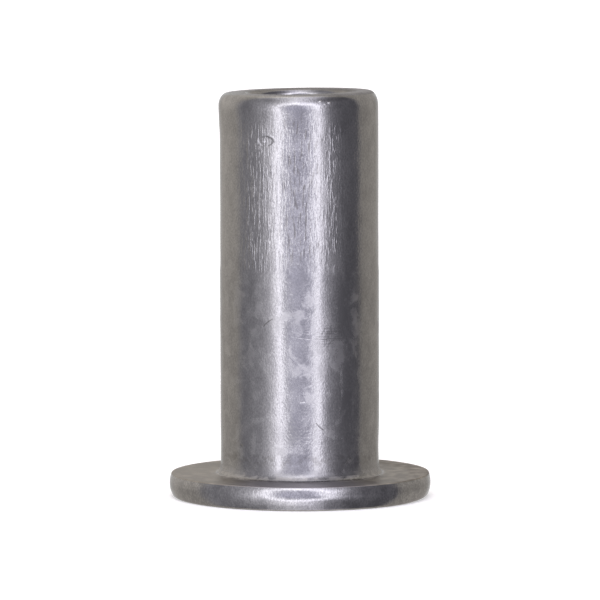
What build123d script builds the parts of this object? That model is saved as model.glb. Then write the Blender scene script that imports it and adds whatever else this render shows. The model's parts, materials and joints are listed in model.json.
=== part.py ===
from build123d import *
from math import radians, sqrt, tan
import os

# An open-end rivet nut with a flat head: one piece of aluminium, headed cold, bored and tapped.
# It goes into a round hole in thin sheet, and its plain sleeve is then drawn up and folded
# behind the sheet, so that the threaded end holds a screw.
#
# Millimetres. The origin is the centre of the head's outer face, and +Z runs along the axis
# to the threaded tip. The thread's helix isn't cut: the tip is bored to the thread's crests.

# The screw, a No. 10 with 32 threads to the inch, and the two bores that take it
screw_diameter = 4.826
thread_height = 0.413  # from the screw's outside down to the crests of the nut's thread
thread_length = 7.05  # from the tip face to the start of the step
screw_gap = 0.112  # all round, between the screw and the entry bore
step_angle = 60  # degrees between the step from bore to bore and the axis

# The shank
sleeve_wall = 0.65
overall_length = 16.31
tip_corner_reach = 0.37  # inwards from the shank's side
tip_corner_height = 0.61  # down from the tip face
root_reach = 0.22  # the blend into the head, outwards from the shank's side
root_height = 0.46  # and up from the head

# The head, whose rim is barrelled by the heading blow
head_overhang = 2.075  # beyond the shank, all round
head_thickness = 0.945
rim_crown_radius = 1.07
rim_crown_lift = 0.075  # how far the rim's widest line lies above the middle of the head

# Rounded edges
rim_outer_round = 0.16
rim_seat_round = 0.05
entry_round = 0.2
thread_mouth_round = 0.24

# What follows from them
thread_radius = screw_diameter / 2 - thread_height
entry_radius = screw_diameter / 2 + screw_gap
shank_radius = entry_radius + sleeve_wall
head_radius = shank_radius + head_overhang
step_top = overall_length - thread_length
step_bottom = step_top - (entry_radius - thread_radius) / tan(radians(step_angle))
rim_widest = head_thickness / 2 + rim_crown_lift
crown_centre = head_radius - rim_crown_radius
rim_outer_edge = crown_centre + sqrt(rim_crown_radius**2 - rim_widest**2)
rim_seat_edge = crown_centre + sqrt(rim_crown_radius**2 - (head_thickness - rim_widest) ** 2)

with BuildPart() as rivet_nut_body:
    # Half of the section, turned about the axis: the outside from the head's face up to the
    # tip, then the bores back down.
    with BuildSketch(Plane.XZ):
        with BuildLine():
            head_face = Line((entry_radius, 0), (rim_outer_edge, 0))
            rim = ThreePointArc(
                head_face @ 1,
                (head_radius, rim_widest),
                (rim_seat_edge, head_thickness),
            )
            seat = Line(rim @ 1, (shank_radius + root_reach, head_thickness))
            root = EllipticalCenterArc(
                (shank_radius + root_reach, head_thickness + root_height),
                x_radius=root_reach,
                y_radius=root_height,
                start_angle=180,
                arc_size=90,
            )
            shank = Line(
                (shank_radius, head_thickness + root_height),
                (shank_radius, overall_length - tip_corner_height),
            )
            tip_corner = EllipticalCenterArc(
                (shank_radius - tip_corner_reach, overall_length - tip_corner_height),
                x_radius=tip_corner_reach,
                y_radius=tip_corner_height,
                start_angle=0,
                arc_size=90,
            )
            tip_face = Line(tip_corner @ 1, (thread_radius, overall_length))
            thread_wall = Line(tip_face @ 1, (thread_radius, step_top))
            step = Line(thread_wall @ 1, (entry_radius, step_bottom))
            entry_wall = Line(step @ 1, head_face @ 0)
        make_face()
    revolve(axis=Axis.Z)

    # The head's outer face: its rim, and the mouth that the screw goes in by
    outer_face_rings = rivet_nut_body.edges().filter_by(GeomType.CIRCLE).group_by(Axis.Z)[0]
    fillet(outer_face_rings.sort_by(SortBy.RADIUS)[-1], rim_outer_round)
    fillet(outer_face_rings.sort_by(SortBy.RADIUS)[0], entry_round)

    # The head's seat, which meets the sheet
    seat_face = rivet_nut_body.faces().filter_by(GeomType.PLANE).sort_by(Axis.Z)[1]
    fillet(seat_face.edges().sort_by(SortBy.RADIUS)[-1], rim_seat_round)

    # The thread's mouth in the tip face
    tip_rings = rivet_nut_body.edges().filter_by(GeomType.CIRCLE).group_by(Axis.Z)[-1]
    fillet(tip_rings.sort_by(SortBy.RADIUS)[0], thread_mouth_round)

rivet_nut_body.part.label = "rivet_nut_body"

os.makedirs("parts", exist_ok=True)
export_step(rivet_nut_body.part, "parts/rivet_nut_body.step")
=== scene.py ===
import json
from math import atan2, ceil, cos, degrees, exp, pi, radians, sin, sqrt, tan

import bpy
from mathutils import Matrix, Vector, noise


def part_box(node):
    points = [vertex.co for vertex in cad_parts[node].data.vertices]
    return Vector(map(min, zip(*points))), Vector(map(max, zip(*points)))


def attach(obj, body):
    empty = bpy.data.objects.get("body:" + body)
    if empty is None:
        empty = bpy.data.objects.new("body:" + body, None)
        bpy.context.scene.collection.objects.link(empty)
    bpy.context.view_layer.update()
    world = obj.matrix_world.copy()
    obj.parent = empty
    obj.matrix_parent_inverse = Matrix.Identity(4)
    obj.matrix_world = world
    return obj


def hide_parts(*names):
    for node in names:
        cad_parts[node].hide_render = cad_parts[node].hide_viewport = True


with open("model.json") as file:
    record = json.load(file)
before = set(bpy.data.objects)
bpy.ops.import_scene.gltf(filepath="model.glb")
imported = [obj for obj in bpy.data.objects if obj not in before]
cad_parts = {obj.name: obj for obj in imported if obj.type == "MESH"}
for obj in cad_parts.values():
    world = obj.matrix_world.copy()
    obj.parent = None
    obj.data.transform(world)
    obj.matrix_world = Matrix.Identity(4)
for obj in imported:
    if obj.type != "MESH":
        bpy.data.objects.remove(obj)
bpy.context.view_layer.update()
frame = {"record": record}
mounts = {mount["name"]: mount for mount in frame["record"]["mounts"]}

# ---------------------------------------------------------------------------------------------
# The nut is one piece of aluminium: a blank headed cold into a round flat head and a tube, bored
# from the head and tapped at the tip. Its mesh is the solid's section turned about the axis, with
# the thread cut in and the small unevenness that heading and tumbling leave.

MM = 0.001

low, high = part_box("rivet_nut_body")
head_radius = min(high[0], high[1], -low[0], -low[1]) / MM
tip_height = high[2] / MM
head_thickness = mounts["sheet_seat"]["pos_m"][2] / MM
shank_radius = mounts["shank"]["dims"]["r_mm"]
thread_radius = mounts["thread"]["dims"]["r_mm"]
entry_radius = mounts["screw_entry"]["dims"]["r_mm"]

# Rounded corners, in millimetres: how far each reaches inwards or outwards, and up or down
tip_corner = (0.37, 0.61)
root_blend = (0.22, 0.46)
rim_crown_radius = 1.07
rim_crown_lift = 0.075
rim_outer_round = 0.16
rim_seat_round = 0.05
entry_round = 0.2
mouth_round = 0.24

# The thread, a No. 10 with 32 turns to the inch, and the step between the two bores
thread_pitch = 25.4 / 32
thread_depth = 0.413
thread_length = 7.05
thread_top = tip_height - mouth_round
thread_bottom = tip_height - thread_length
step_slope = radians(60)
step_bottom = thread_bottom - (entry_radius - thread_radius) / tan(step_slope)

# What forming left uneven: a waist over the root, a bulge and a flare under the tip, a little more
# width below the thread, a head that is higher on its right, and the lean of the shank and the tip
waist_height = 2.0
waist_reach = 0.75
waist_depth = 0.02
waist_depth_to_right = 0.008
bulge_height = 15.3
bulge_reach = 0.5
bulge = 0.035
flare = 0.075
width_below_thread = 0.012
head_lift = 0.035
shank_lean = 0.0031
tip_slope = 0.0173
tip_slope_from = 2.9

columns = 256
rows_per_turn = 10


def arc(centre, radii, first, last, steps):
    """Points round an ellipse from one angle to another, in degrees, both ends included."""
    turns = [radians(first + (last - first) * step / steps) for step in range(steps + 1)]
    return [(centre[0] + radii[0] * cos(turn), centre[1] + radii[1] * sin(turn)) for turn in turns]


def run(start, end, steps):
    """Points along a straight line, without its ends."""
    shares = [step / steps for step in range(1, steps)]
    return [(start[0] + (end[0] - start[0]) * s, start[1] + (end[1] - start[1]) * s) for s in shares]


def rim():
    """The head's barrelled rim from its outer face up to its seat, with its two rounded edges."""
    crown_height = head_thickness / 2 + rim_crown_lift
    crown_centre = (head_radius - rim_crown_radius, crown_height)
    outer_height = rim_outer_round
    seat_height = head_thickness - rim_seat_round
    outer_reach = sqrt((rim_crown_radius - rim_outer_round) ** 2 - (outer_height - crown_height) ** 2)
    seat_reach = sqrt((rim_crown_radius - rim_seat_round) ** 2 - (seat_height - crown_height) ** 2)
    outer_turn = degrees(atan2(outer_height - crown_height, outer_reach))
    seat_turn = degrees(atan2(seat_height - crown_height, seat_reach))
    outer_centre = (crown_centre[0] + outer_reach, outer_height)
    seat_centre = (crown_centre[0] + seat_reach, seat_height)
    return (
        arc(outer_centre, (rim_outer_round, rim_outer_round), -90, outer_turn, 8)
        + arc(crown_centre, (rim_crown_radius, rim_crown_radius), outer_turn, seat_turn, 18)[1:]
        + arc(seat_centre, (rim_seat_round, rim_seat_round), seat_turn, 90, 6)[1:]
    )


def section():
    """The section as (radius, height) from the foot of the thread round the outside to its mouth."""
    foot = [(thread_radius, thread_bottom)]
    entry = arc((entry_radius + entry_round, entry_round), (entry_round, entry_round), 180, 270, 8)
    edge = rim()
    root_centre = (shank_radius + root_blend[0], head_thickness + root_blend[1])
    root = arc(root_centre, root_blend, 270, 180, 12)
    corner_centre = (shank_radius - tip_corner[0], tip_height - tip_corner[1])
    corner = arc(corner_centre, tip_corner, 0, 90, 16)
    mouth = arc((thread_radius + mouth_round, thread_top), (mouth_round, mouth_round), 90, 180, 8)
    step_end = (entry_radius, step_bottom)
    return (
        foot
        + run(foot[-1], step_end, 4)
        + [step_end]
        + run(step_end, entry[0], 24)
        + entry
        + run(entry[-1], edge[0], 14)
        + edge
        + run(edge[-1], root[0], 10)
        + root
        + run(root[-1], corner[0], 110)
        + corner
        + run(corner[-1], mouth[0], 5)
        + mouth
    )


def thread_profile(phase):
    """How deep the thread is at a share of one pitch, from 0 on its crest to 1 at its root."""
    crest, flank, root = 0.25, 0.3125, 0.125
    if phase < crest:
        return 0
    if phase < crest + flank:
        return (phase - crest) / flank
    if phase < crest + flank + root:
        return 1
    return (1 - phase) / flank


def smooth(value, start, end):
    """Goes smoothly from 0 to 1 as the value goes from start to end."""
    share = min(1, max(0, (value - start) / (end - start)))
    return share * share * (3 - 2 * share)


def unevenness(radius, turn, height):
    """The point of the surface at that radius, turn and height, moved by what forming left uneven."""
    x, y = radius * cos(turn), radius * sin(turn)
    on_shank = smooth(height, head_thickness, head_thickness + 0.4) if radius > entry_radius else 0
    wave = noise.noise(Vector((x * 0.5, y * 0.5, height * 0.3)))
    ripple = noise.noise(Vector((x * 1.7 + 9, y * 1.7, height * 0.8)))
    grown = 0.009 * wave + 0.004 * ripple if entry_radius < radius < head_radius - 0.03 else 0
    waist = exp(-(((height - waist_height) / waist_reach) ** 2))
    waist *= waist_depth + waist_depth_to_right * cos(turn)
    lip = bulge * exp(-(((height - bulge_height) / bulge_reach) ** 2)) + flare * smooth(height, 15.2, 16.2)
    leftness = 0.5 - 0.5 * cos(turn)
    step = width_below_thread * smooth(height, 9.4, 9.0)
    grown += on_shank * (step + lip * leftness - waist)
    x, y = x * (1 + grown / radius), y * (1 + grown / radius)
    if height <= head_thickness:
        height += head_lift * smooth(x + 0.4 * y, 2.5, 5.0)
    lean = shank_lean * max(0, height - head_thickness)
    slope = tip_slope * smooth(height, 13, 16)
    return x - lean, y, height + slope * (x - tip_slope_from)


def nut_mesh():
    """One closed mesh: rings of the section, joined through the bore by the helix of the thread."""
    points = []
    faces = []
    turns = [2 * pi * column / columns for column in range(columns)]

    def ring(radius, height):
        start = len(points)
        points.extend(unevenness(radius, turn, height) for turn in turns)
        return [start + column for column in range(columns)]

    rings = [ring(radius, height) for radius, height in section()]
    for lower, upper in zip(rings, rings[1:]):
        for column in range(columns):
            beside = (column + 1) % columns
            faces.append((lower[column], lower[beside], upper[beside], upper[column]))

    # Rows of the thread climb one pitch in a turn, so each row ends where the row a pitch up began.
    # It fades out at both ends, and a point closer to an end than the weld distance joins its ring.
    fade = thread_pitch * 0.7
    weld = 0.004
    row_count = rows_per_turn * ceil((thread_top - thread_bottom) / thread_pitch + 1)
    threads = {}

    def thread_point(column, row):
        if column == columns:
            return thread_point(0, row + rows_per_turn)
        height = thread_bottom + thread_pitch * (row / rows_per_turn - 1 + column / columns)
        if height < thread_bottom + weld:
            return rings[0][column]
        if height > thread_top - weld:
            return rings[-1][column]
        if (column, row) not in threads:
            ends = min(1, (height - thread_bottom) / fade, (thread_top - height) / fade)
            cut = thread_depth * thread_profile(row % rows_per_turn / rows_per_turn) * ends
            threads[column, row] = len(points)
            points.append(unevenness(thread_radius + cut, turns[column], height))
        return threads[column, row]

    for column in range(columns):
        for row in range(row_count):
            corners = [
                thread_point(column, row + 1),
                thread_point(column + 1, row + 1),
                thread_point(column + 1, row),
                thread_point(column, row),
            ]
            face = list(dict.fromkeys(corners))
            if len(face) > 2:
                faces.append(face)

    mesh = bpy.data.meshes.new("rivet_nut")
    mesh.from_pydata([tuple(value * MM for value in point) for point in points], [], faces)
    mesh.polygons.foreach_set("use_smooth", [True] * len(mesh.polygons))
    mesh.set_sharp_from_angle(angle=radians(35))
    return mesh


class Value:
    """A number, vector or colour on its way through a shader. Sums written with it add Math nodes."""

    def __init__(self, graph, socket):
        self.graph = graph
        self.socket = socket

    def maths(self, operation, *others):
        return self.graph.maths(operation, self, *others)

    def __add__(self, other):
        return self.maths("ADD", other)

    def __sub__(self, other):
        return self.maths("SUBTRACT", other)

    def __rsub__(self, other):
        return self.graph.maths("SUBTRACT", other, self)

    def __mul__(self, other):
        return self.maths("MULTIPLY", other)

    def __truediv__(self, other):
        return self.maths("DIVIDE", other)

    __radd__ = __add__
    __rmul__ = __mul__


class Graph:
    """The nodes of one material or of the world."""

    def __init__(self, owner):
        owner.use_nodes = True
        self.tree = owner.node_tree
        self.tree.nodes.clear()

    def node(self, kind, settings=None, sockets=None):
        """Adds a node: its settings first, then its sockets' values or links. Returns its outputs."""
        made = self.tree.nodes.new("ShaderNode" + kind)
        for name, value in (settings or {}).items():
            setattr(made, name, value)
        for name, value in (sockets or {}).items():
            named = [s for s in made.inputs if s.enabled and s.name == name]
            socket = named[0] if named else made.inputs[name]
            if isinstance(value, Value):
                self.tree.links.new(value.socket, socket)
            else:
                socket.default_value = value
        return {socket.name: Value(self, socket) for socket in made.outputs if socket.enabled}

    def maths(self, operation, *values):
        return self.node("Math", {"operation": operation}, dict(enumerate(values)))["Value"]

    def rise(self, value, start, end):
        """Goes smoothly from 0 to 1 as the value goes from start to end."""
        settings = {"interpolation_type": "SMOOTHSTEP"}
        sockets = {"Value": value, "From Min": start, "From Max": end}
        return self.node("MapRange", settings, sockets)["Result"]

    def blend(self, share, first, second):
        """A colour that goes from the first to the second."""
        sockets = {"Factor": share, "A": first, "B": second}
        return self.node("Mix", {"data_type": "RGBA"}, sockets)["Result"]

    def bell(self, value, centre, width):
        """A soft hump, 1 at its centre."""
        offset = (value - centre) / width
        return (0 - offset * offset).maths("EXPONENT")

    def noise(self, place, cells, detail=2, offset=(0, 0, 0), distortion=0):
        """Noise from 0 to 1 with so many cells to the millimetre along x, y and z."""
        scale = tuple(count / MM for count in cells)
        sockets = {"Vector": place, "Scale": scale, "Location": offset}
        spread = self.node("Mapping", None, sockets)["Vector"]
        sockets = {"Vector": spread, "Scale": 1, "Detail": detail, "Distortion": distortion}
        return self.node("TexNoise", None, sockets)["Fac"]


def nut_material():
    """Bare aluminium as formed: satin, drawn in streaks over the thread and dulled by oxide below."""
    material = bpy.data.materials.new("bare_aluminium_as_formed")
    graph = Graph(material)
    place = graph.node("TexCoord")["Object"]
    parts = graph.node("SeparateXYZ", None, {"Vector": place})

    # Where a point lies, in millimetres: along the shank, round it from its front, and off its axis
    up = parts["Z"] / MM
    turn = parts["X"].maths("ARCTAN2", 0 - parts["Y"])
    around = turn * shank_radius
    off_axis = (parts["X"] * parts["X"] + parts["Y"] * parts["Y"]).maths("SQRT") / MM

    threaded = graph.rise(up, 9.2, 10.2)
    plain = 1 - threaded

    # The flat faces are duller than the shank, and the rim was marked in tumbling
    past_root = graph.rise(off_axis, shank_radius + 0.1, shank_radius + 0.3)
    head_top = past_root * graph.rise(up, 0.9, 0.94)
    head_face = graph.rise(up, 0.03, 0.01)
    tip_face = graph.rise(up, tip_height - 0.12, tip_height - 0.07)
    dull = head_top.maths("MAXIMUM", head_face).maths("MAXIMUM", tip_face)
    side = graph.rise(off_axis, 4.8, 5.0) * graph.rise(up, 0.92, 0.88)

    # The skin of the metal: a fine grain, and where the punch drew it, a coarser peel and streaks
    grain = graph.noise(place, (15, 15, 11), detail=1)
    specks = graph.noise(place, (16, 16, 12), detail=1, offset=(4, 4, 4))
    peel = graph.noise(place, (5, 5, 4), detail=1, offset=(5, 0, 2))
    long_streaks = graph.rise(graph.noise(place, (9, 9, 0.5), offset=(3, 1, 0)), 0.54, 0.66)
    short_streaks = graph.rise(graph.noise(place, (10, 10, 1.5), offset=(9, 2, 4)), 0.5, 0.64)
    streaks = 0.5 * long_streaks + 0.8 * short_streaks
    streaks = streaks * graph.rise(up, 9.0, 9.6) * graph.rise(up, 15.6, 14.6)
    streaks = streaks * graph.rise(around, -2.9, -2.2) * graph.rise(around, 2.1, 1.3)
    streaks = streaks * (1 - 0.5 * graph.bell(around, 0, 1.3) + 0.3 * graph.bell(around, -1.9, 0.5))
    turned = graph.noise(place, (0.8, 0.8, 15), offset=(1, 4, 0))
    cloud = graph.noise(place, (1.7, 1.7, 1.3), detail=6, distortion=0.8)
    on_shank = graph.rise(up, 1.0, 1.3) * graph.rise(up, 10.2, 9.0)
    mottle = graph.noise(place, (2.2, 2.2, 1.5), detail=4, offset=(7, 2, 5))
    swell = graph.noise(place, (0.6, 0.6, 0.35), detail=1, offset=(2, 8, 1))

    def spot(where, size):
        """A soft spot round a point of the shank, given as how far round it lies and how high."""
        across = (around - where[0]) / size[0]
        along = (up - where[1]) / size[1]
        return (0 - across * across - along * along).maths("EXPONENT")

    def spots(*places):
        """The sum of soft spots, each given as its strength, its point and its size."""
        return sum(strength * spot(where, size) for strength, where, size in places)

    def scratch(where, length, lean, bend, width):
        """A fine scratch: 1 along its line, which leans and bends as it goes."""
        slope = radians(lean)
        across = around - where[0]
        along = up - where[1]
        reach = across * cos(slope) + along * sin(slope)
        off = along * cos(slope) - across * sin(slope) - bend * (reach * reach)
        return graph.bell(off, 0, width) * graph.rise(reach.maths("ABSOLUTE"), length * 0.55, length * 0.4)

    def scratches(*lines):
        """The sum of fine scratches, each given as its strength and then as a scratch is."""
        return sum(strength * scratch(*line) for strength, *line in lines)

    # Oxide gathers in ragged clouds, thickest where the shank was left wet, and thin in three places
    wet = spots(
        (1, (-2.73, 8.0), (0.35, 0.8)),
        (1, (0.3, 8.2), (0.35, 0.7)),
        (1, (-0.36, 7.5), (0.5, 0.25)),
        (1.7, (1.45, 6.0), (0.5, 0.6)),
        (1, (-2.1, 5.9), (0.6, 0.4)),
        (1, (0, 5.55), (0.5, 0.55)),
        (1, (1.38, 3.2), (0.45, 0.6)),
        (1, (-2.04, 2.5), (0.25, 0.5)),
        (1, (1.8, 4.5), (0.15, 0.9)),
        (1.2, (0, 7.0), (0.3, 0.25)),
        (1.2, (-0.3, 2.1), (0.6, 0.2)),
        (1, (0.35, 4.1), (0.2, 0.3)),
        (2, (1.65, 9.4), (0.35, 0.3)),
        (1.3, (2.4, 7.4), (0.2, 1.4)),
        (1, (-1.9, 4.2), (0.3, 0.6)),
        (1, (-1.6, 7.4), (0.25, 0.9)),
    )
    thin = spots(
        (1.6, (0.05, 4.85), (0.35, 0.25)),
        (3.5, (-0.5, 2.75), (0.7, 0.35)),
        (1, (0.05, 3.45), (0.3, 0.2)),
    )
    patches = graph.rise(cloud + 0.16 * (wet - thin), 0.52, 0.7) * (0.4 + 1.2 * mottle) * on_shank

    # Dark blotches on the right side
    blotches = spots(
        (1, (1.81, 7.8), (0.3, 0.9)),
        (1, (1.9, 4.2), (0.25, 1.0)),
        (0.7, (2.2, 10.5), (0.3, 1.2)),
    )
    blotches = blotches * graph.rise(mottle, 0.4, 0.6)

    # Scratches, bright where fresh and dark where grime filled them, and pale wisps that run like drips
    light_marks = scratches(
        (0.45, (0, 6.64), 0.75, -9, 0, 0.016),
        (1, (0.1, 4.07), 0.2, 5, 0, 0.03),
        (1, (1.55, 6.66), 1.0, -8, 0.1, 0.016),
        (1, (1.45, 6.5), 0.8, -5, 0, 0.014),
    )
    dark_marks = scratches(
        (1, (-1.34, 7.26), 0.55, 38, -0.5, 0.022),
        (1, (0.8, 3.1), 0.5, -42, 0.4, 0.016),
        (1, (-4.14, 6.46), 0.13, 0, 0, 0.045),
        (1, (-2.62, 2.27), 0.14, -30, 0, 0.04),
    )
    dark_marks = dark_marks + spots((0.9, (1.55, 16.2), (0.5, 0.12)), (0.3, (-2.4, 16.05), (0.45, 0.12)))
    wisps = scratches(
        (1, (-0.15, 5.75), 1.1, -50, 0.25, 0.07),
        (1, (0.2, 5.2), 0.5, 10, -1.5, 0.05),
        (1, (-1.95, 2.4), 0.9, 88, 0.1, 0.1),
        (1, (1.74, 4.5), 1.7, 88, 0.12, 0.05),
        (1, (0.3, 4.7), 0.4, 20, 0, 0.04),
    )

    # Nicks in the tip's corner and a chip in the pit show bare bright metal
    nicks = spots(
        (1, (0.82, 16.01), (0.16, 0.06)),
        (1, (1.0, 15.9), (0.12, 0.04)),
        (1.3, (1.19, 15.96), (0.1, 0.06)),
    )
    bare = graph.rise(nicks * specks, 0.36, 0.6) + 0.7 * spot((-1.5, 14.42), (0.08, 0.04))

    # A pit left by a chip under the punch
    pit_place = (-1.41, 14.45)
    pit_size = (0.34, 0.21)
    pit_across = (around - pit_place[0]) / pit_size[0]
    pit_along = (up - pit_place[1]) / pit_size[1]
    pit_reach = (pit_across * pit_across + pit_along * pit_along).maths("SQRT") + 0.15 * (peel - 0.5)
    pit = graph.rise(pit_reach, 1.1, 0.75)
    pit_lip = graph.bell(pit_reach, 1.1, 0.22)

    # Over the thread the skin is peeled, dented and scuffed, less so along two smoother bands of the front
    drawn_over = threaded * graph.rise(up, 15.9, 14.9)
    calm = graph.bell(around, -0.92, 0.3) + graph.bell(around, 0.84, 0.3)
    dents = graph.rise(graph.noise(place, (13, 13, 7), detail=1, offset=(6, 1, 3)), 0.5, 0.7)
    scuffs = graph.rise(graph.noise(place, (11, 11, 1.7), offset=(2, 6, 1)), 0.54, 0.66)
    scuffs = scuffs * drawn_over * graph.bell(around, 0, 0.8)
    ticks = graph.rise(graph.noise(place, (10, 10, 1.6), offset=(8, 3, 1)), 0.56, 0.68) * side
    skin = 0.5 * grain + peel * (0.12 + 0.25 * drawn_over) + 1.1 * streaks
    skin = skin + turned * (0.2 * plain + 3 * spot((1.1, 6.8), (0.8, 0.35)))
    skin = skin - dents * (0.1 + 0.2 * drawn_over) - 0.3 * scuffs + 0.25 * ticks
    skin = skin * (1 - 0.35 * side - 0.55 * drawn_over * calm)
    marks = 0.55 * pit_lip - 1.7 * pit + 2.5 * bare - 0.6 * light_marks - 0.8 * dark_marks
    relief = 0.006 * MM
    sockets = {"Strength": 1.0, "Distance": relief, "Height": skin + marks + 3.0 * swell}
    normal = graph.node("Bump", None, sockets)["Normal"]

    # A whitish crust sits in the root of the head, smeared round it. The root's corner is darkened as
    # painted shade, and a ragged band in the waist over it and a ring round the tip's mouth are darker.
    sockets = {
        "X": parts["X"] / off_axis * 0.006,
        "Y": parts["Y"] / off_axis * 0.006,
        "Z": (up - off_axis) * 0.0065,
    }
    ring_place = graph.node("CombineXYZ", None, sockets)["Vector"]
    smear = graph.noise(ring_place, (1, 1, 1), detail=4, offset=(3, 3, 3), distortion=0.9)
    ragged = graph.noise(place, (4, 4, 5), detail=5, offset=(3, 3, 3), distortion=0.6)
    aside = graph.rise(turn.maths("ABSOLUTE"), 0.3, 0.8)
    outside = graph.rise(off_axis, 2.9, 3.1) * graph.rise(up, 0.9, 0.94)
    crust = graph.rise(0.5 * smear + 0.5 * ragged, 0.49, 0.57)
    crust = crust * graph.rise(up, 1.35, 1.1) * graph.rise(off_axis, 3.85, 3.4)
    crust = crust * (0.5 + 0.5 * aside) * outside
    root = graph.rise(up, 1.5, 1.2) * graph.rise(up, 0.95, 0.99) * outside
    # Painted shade in the root's corner
    root_painted_shade = graph.rise(up, 1.16, 1.04) * graph.rise(up, 0.95, 0.99)
    waist_darkening = graph.bell(up, 1.75, 0.25) * graph.rise(ragged, 0.48, 0.58)
    mouth_darkening = graph.rise(off_axis, 2.32, 2.22) * graph.rise(up, tip_height - 0.17, tip_height - 0.1)

    # How light the bare metal is, with soft lighter and darker areas on the front
    lightness = 0.45 * patches + 0.3 * light_marks + 0.13 * ticks + 0.5 * wisps
    sparkle = 1.6 + side + 1.5 * drawn_over * graph.bell(around, 0, 0.5)
    lightness = lightness + sparkle * (specks - 0.5) + (1.5 + side) * (mottle - 0.5)
    # The root's front is darkened here as painted shade in its corner
    lightness = lightness + 0.25 * drawn_over - 0.6 * root * (1 - aside) - 1.2 * blotches
    lightness = lightness + spots(
        (-0.5, (-0.5, 2.75), (0.7, 0.35)),
        (-0.45, (-0.3, 7.65), (0.25, 0.3)),
        (-0.8, (-0.05, 15.1), (0.42, 0.45)),
        (-0.6, (1.6, 15.0), (0.45, 0.5)),
        (0.7, (-3.58, 15.75), (0.5, 0.3)),
        (0.5, (3.5, 15.78), (0.35, 0.15)),
        (0.5, (1.5, 11.2), (0.3, 1.6)),
    )
    bright = graph.blend(0.4 + lightness, (0.25, 0.25, 0.257, 1), (0.36, 0.36, 0.365, 1))

    roughness = 0.16 + 0.14 * patches + 0.05 * streaks + 0.1 * wisps - 0.03 * blotches
    roughness = roughness + (0.16 + 0.12 * on_shank) * (mottle - 0.5) + 0.1 * spot((2.55, 7.4), (0.25, 1.7))
    roughness = roughness + 0.42 * dull - 0.14 * head_top + 0.25 * crust + 0.12 * root

    # Dark grey of grime in marks, used also for painted shade in the root's corner and behind the shank
    grime_and_shade_colour = (0.12, 0.114, 0.106, 1)
    darkening = 0.5 * dark_marks + 0.3 * head_face + 0.1 * tip_face + 0.65 * scuffs
    # The root's corner takes painted shade here, and the waist and the tip's mouth are made darker
    darkening = darkening + 0.28 * root_painted_shade + 0.3 * waist_darkening + 0.4 * mouth_darkening
    colour = graph.blend(darkening, bright, grime_and_shade_colour)

    # The seat is patchy. Painted light makes it paler on its left and darker on its right, a painted
    # shadow darkens it behind the shank, and a painted reflection of the shank greys it in front.
    seat_painted_shade_to_right = graph.rise(parts["X"] / MM, -1, 4)
    seat_colour = graph.blend(seat_painted_shade_to_right, (0.262, 0.243, 0.221, 1), (0.192, 0.177, 0.161, 1))
    seat_patches = 0.25 + 3.0 * (mottle - 0.5) + 0.7 * (ragged - 0.5)
    seat_colour = graph.blend(seat_patches, seat_colour, (0.4, 0.375, 0.34, 1))
    # Painted shadow on the seat behind the shank
    behind = graph.rise(parts["Y"] / MM, 0.5, 3) * graph.rise(off_axis, 5.1, 4.3)
    seat_colour = graph.blend(0.35 * behind, seat_colour, grime_and_shade_colour)
    # Painted reflection of the shank in the seat's front, paler at its middle
    seat_painted_shank_reflection = graph.blend(graph.bell(turn, -0.1, 0.15), (0.4, 0.385, 0.405, 1), (0.335, 0.322, 0.339, 1))
    seat_colour = graph.blend(aside, seat_painted_shank_reflection, seat_colour)
    colour = graph.blend(head_top, colour, seat_colour)
    colour = graph.blend(0.75 * crust, colour, (0.48, 0.47, 0.45, 1))
    colour = graph.blend(bare, colour, (0.8, 0.8, 0.82, 1))
    sockets = {
        "Metallic": 1.0,
        "Base Color": colour,
        "Roughness": roughness,
        "Specular Tint": (0.65, 0.65, 0.65, 1),
        "Normal": normal,
    }
    surface = graph.node("BsdfPrincipled", None, sockets)["BSDF"]
    graph.node("OutputMaterial", None, {"Surface": surface})
    return material


nut = bpy.data.objects.new("rivet_nut", nut_mesh())
bpy.context.scene.collection.objects.link(nut)
nut.data.materials.append(nut_material())
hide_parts("rivet_nut_body")
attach(nut, "root")

# ---------------------------------------------------------------------------------------------
# The floor is a plain pale table top, lifted to white where it is seen, with the nut's soft shadow
# on it. It lies a little under the nut's outer face, so that the two don't share a plane.

floor_reach = 600 * MM
floor_height = -0.01 * MM
floor_corners = [
    (-floor_reach, -floor_reach, floor_height),
    (floor_reach, -floor_reach, floor_height),
    (floor_reach, floor_reach, floor_height),
    (-floor_reach, floor_reach, floor_height),
]
floor_mesh = bpy.data.meshes.new("floor")
floor_mesh.from_pydata(floor_corners, [], [(0, 1, 2, 3)])
floor = bpy.data.objects.new("floor", floor_mesh)
bpy.context.scene.collection.objects.link(floor)
floor_material = bpy.data.materials.new("pale_table_top")
graph = Graph(floor_material)
ray = graph.node("LightPath")
seen = ray["Is Camera Ray"] + ray["Is Glossy Ray"] + ray["Is Transmission Ray"]
matt = graph.node("BsdfDiffuse", None, {"Color": (0.85, 0.85, 0.85, 1)})["BSDF"]
lift = graph.node("Emission", None, {"Color": (1, 1, 1, 1), "Strength": 0.35 * seen})["Emission"]
both = graph.node("AddShader", None, {0: matt, 1: lift})["Shader"]
graph.node("OutputMaterial", None, {"Surface": both})
floor_mesh.materials.append(floor_material)
floor.visible_glossy = False

# ---------------------------------------------------------------------------------------------
# The light comes from a ring of soft lamps round the camera, with a soft strip over and under it.
# Behind the nut hangs a pale backdrop, white to the camera and to what mirrors its middle.

world = bpy.data.worlds.new("studio")
bpy.context.scene.world = world
graph = Graph(world)
way = graph.node("TexCoord")["Generated"]
parts = graph.node("SeparateXYZ", None, {"Vector": way})
across = parts["X"].maths("ARCSINE") * degrees(1)
climb = parts["Z"].maths("ARCSINE") * degrees(1)
left = graph.rise(parts["X"], 0.15, -0.15)
right = 1 - left

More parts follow.
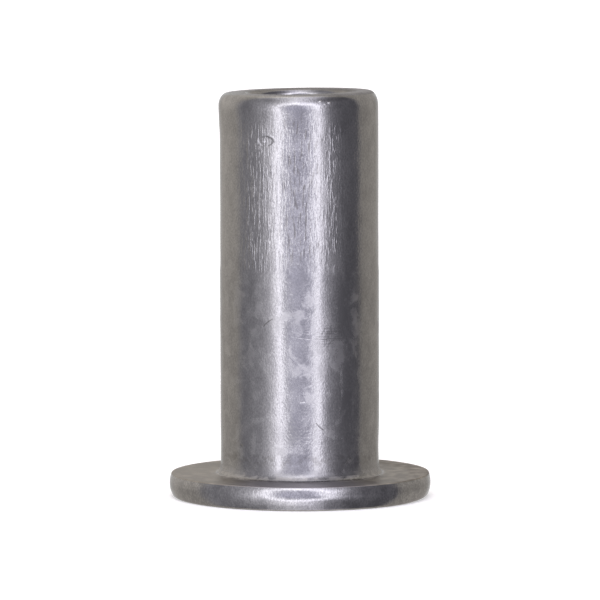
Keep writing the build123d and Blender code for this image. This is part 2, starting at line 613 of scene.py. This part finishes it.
# The ring of lamps is wider than it is high, and its right side is straight where its left is round.
# Angles are in degrees, and the shank mirrors only what lies near its own climb.
ring_climb = 4.5
ring_reach = 27.5
shank_climb = -5
straight = 9 * right
half_height = 23 - 2 * graph.rise(climb, -5, -12)
lamp_across = across + 0.6
lamp_climb = ((climb - ring_climb).maths("ABSOLUTE") - straight).maths("MAXIMUM", 0)
lamp_climb = lamp_climb / (half_height - straight) * ring_reach
from_shank_climb = (climb - shank_climb).maths("ABSOLUTE")
off_shank = graph.rise(from_shank_climb, 4, 9)
off_lamps = (lamp_across * lamp_across + lamp_climb * lamp_climb).maths("SQRT") + 1.2 * left
off_lamps = off_lamps + (2.4 + 2.4 * off_shank) * right
ring_width = 7.4 - 1.7 * left + 2.4 * off_shank * right
ring = graph.bell(off_lamps, 28.2 + 1.5 * left, ring_width) * (1.62 - 1.05 * left) * (1 + 0.18 * off_shank)

# Light spills outside the ring and fills its inside
spill = ((31 - off_lamps) / 12).maths("EXPONENT") * graph.rise(off_lamps, 25, 33)
spill = spill * (1.6 + (1.2 + 0.2 * graph.rise(climb, -5.5, -3.5)) * left)
spill = spill * (1 - (0.3 - 0.12 * left) * graph.rise(from_shank_climb, 4, 12))
inside = 0.81 + 0.04 * off_shank * right + 0.05 * graph.rise(climb, -7, -4)
inside = inside * graph.rise(off_lamps, 33, 24)

# The strip is widest and brightest over the ring
high = graph.rise(climb, 0, 15) * graph.rise(climb, 48, 30)
strip = graph.bell(across, 0.5 + 7 * high, 19 + 3 * high) * graph.rise(off_lamps, 27, 36)
strip = strip * graph.rise(parts["Y"], 0.7, 0) * (1.7 + 0.5 * high - 0.5 * graph.rise(climb, -32, -50))
front = (ring + spill + inside + 0.2 + 0.22 * left) * (1 - 0.3 * graph.rise(climb, -38, -58))

# The backdrop is brightest in its middle
off_backdrop = parts["Y"].maths("ARCCOSINE") * degrees(1)
backdrop = 0.5 + 0.12 * left + 0.21 * graph.rise(off_backdrop, 75, 30)
backdrop = backdrop * (1 + (0.05 + 0.12 * left) * graph.rise(climb, -7, -3))
backdrop = backdrop * (1 + 0.15 * graph.rise(climb, 0, 10) + 0.17 * right * graph.rise(climb, -8, -14))
behind = graph.rise(parts["Y"], 0.08 - 0.1 * left, 0.2 + 0.08 * left)
room = front * (1 - behind) + backdrop * behind + strip

# The lamps are cool, most of all inside their ring, and the backdrop is warm
outer_tint = graph.blend(left, (0.985, 0.95, 1.06, 1), (0.985, 0.955, 1.02, 1))
front_tint = graph.blend(graph.rise(off_lamps, 21, 29), (0.97, 0.942, 1.13, 1), outer_tint)
front_tint = graph.blend(graph.bell(off_lamps, 27, 6), front_tint, (0.98, 0.955, 1.03, 1))
tint = graph.blend(behind, front_tint, (1.045, 0.97, 0.885, 1))
light = graph.node("Background", None, {"Color": tint, "Strength": room})["Background"]
white = graph.node("Background", None, {"Color": (1, 1, 1, 1), "Strength": 1.0})["Background"]
ray = graph.node("LightPath")
mirrored = ray["Is Glossy Ray"] + ray["Is Transmission Ray"]
white_share = ray["Is Camera Ray"] + mirrored * graph.rise(off_backdrop, 37, 6)
shown = graph.node("MixShader", None, {0: white_share, 1: light, 2: white})["Shader"]
graph.node("OutputWorld", None, {"Surface": shown})

# ---------------------------------------------------------------------------------------------
# The camera looks at the nut from a little above, with a long lens.

aim = Vector((-0.004, 0, 7.888)) * MM
distance = 231 * MM
elevation = radians(5.17)
half_view = radians(2.981)
camera_data = bpy.data.cameras.new("camera")
camera_data.lens = camera_data.sensor_width / 2 / tan(half_view)
camera_data.clip_start = 0.01
camera = bpy.data.objects.new("camera", camera_data)
camera.location = aim + distance * Vector((0, -cos(elevation), sin(elevation)))
camera.rotation_euler = (pi / 2 - elevation, 0, 0)
bpy.context.scene.collection.objects.link(camera)
bpy.context.scene.camera = camera
bpy.context.scene.view_settings.view_transform = "Standard"
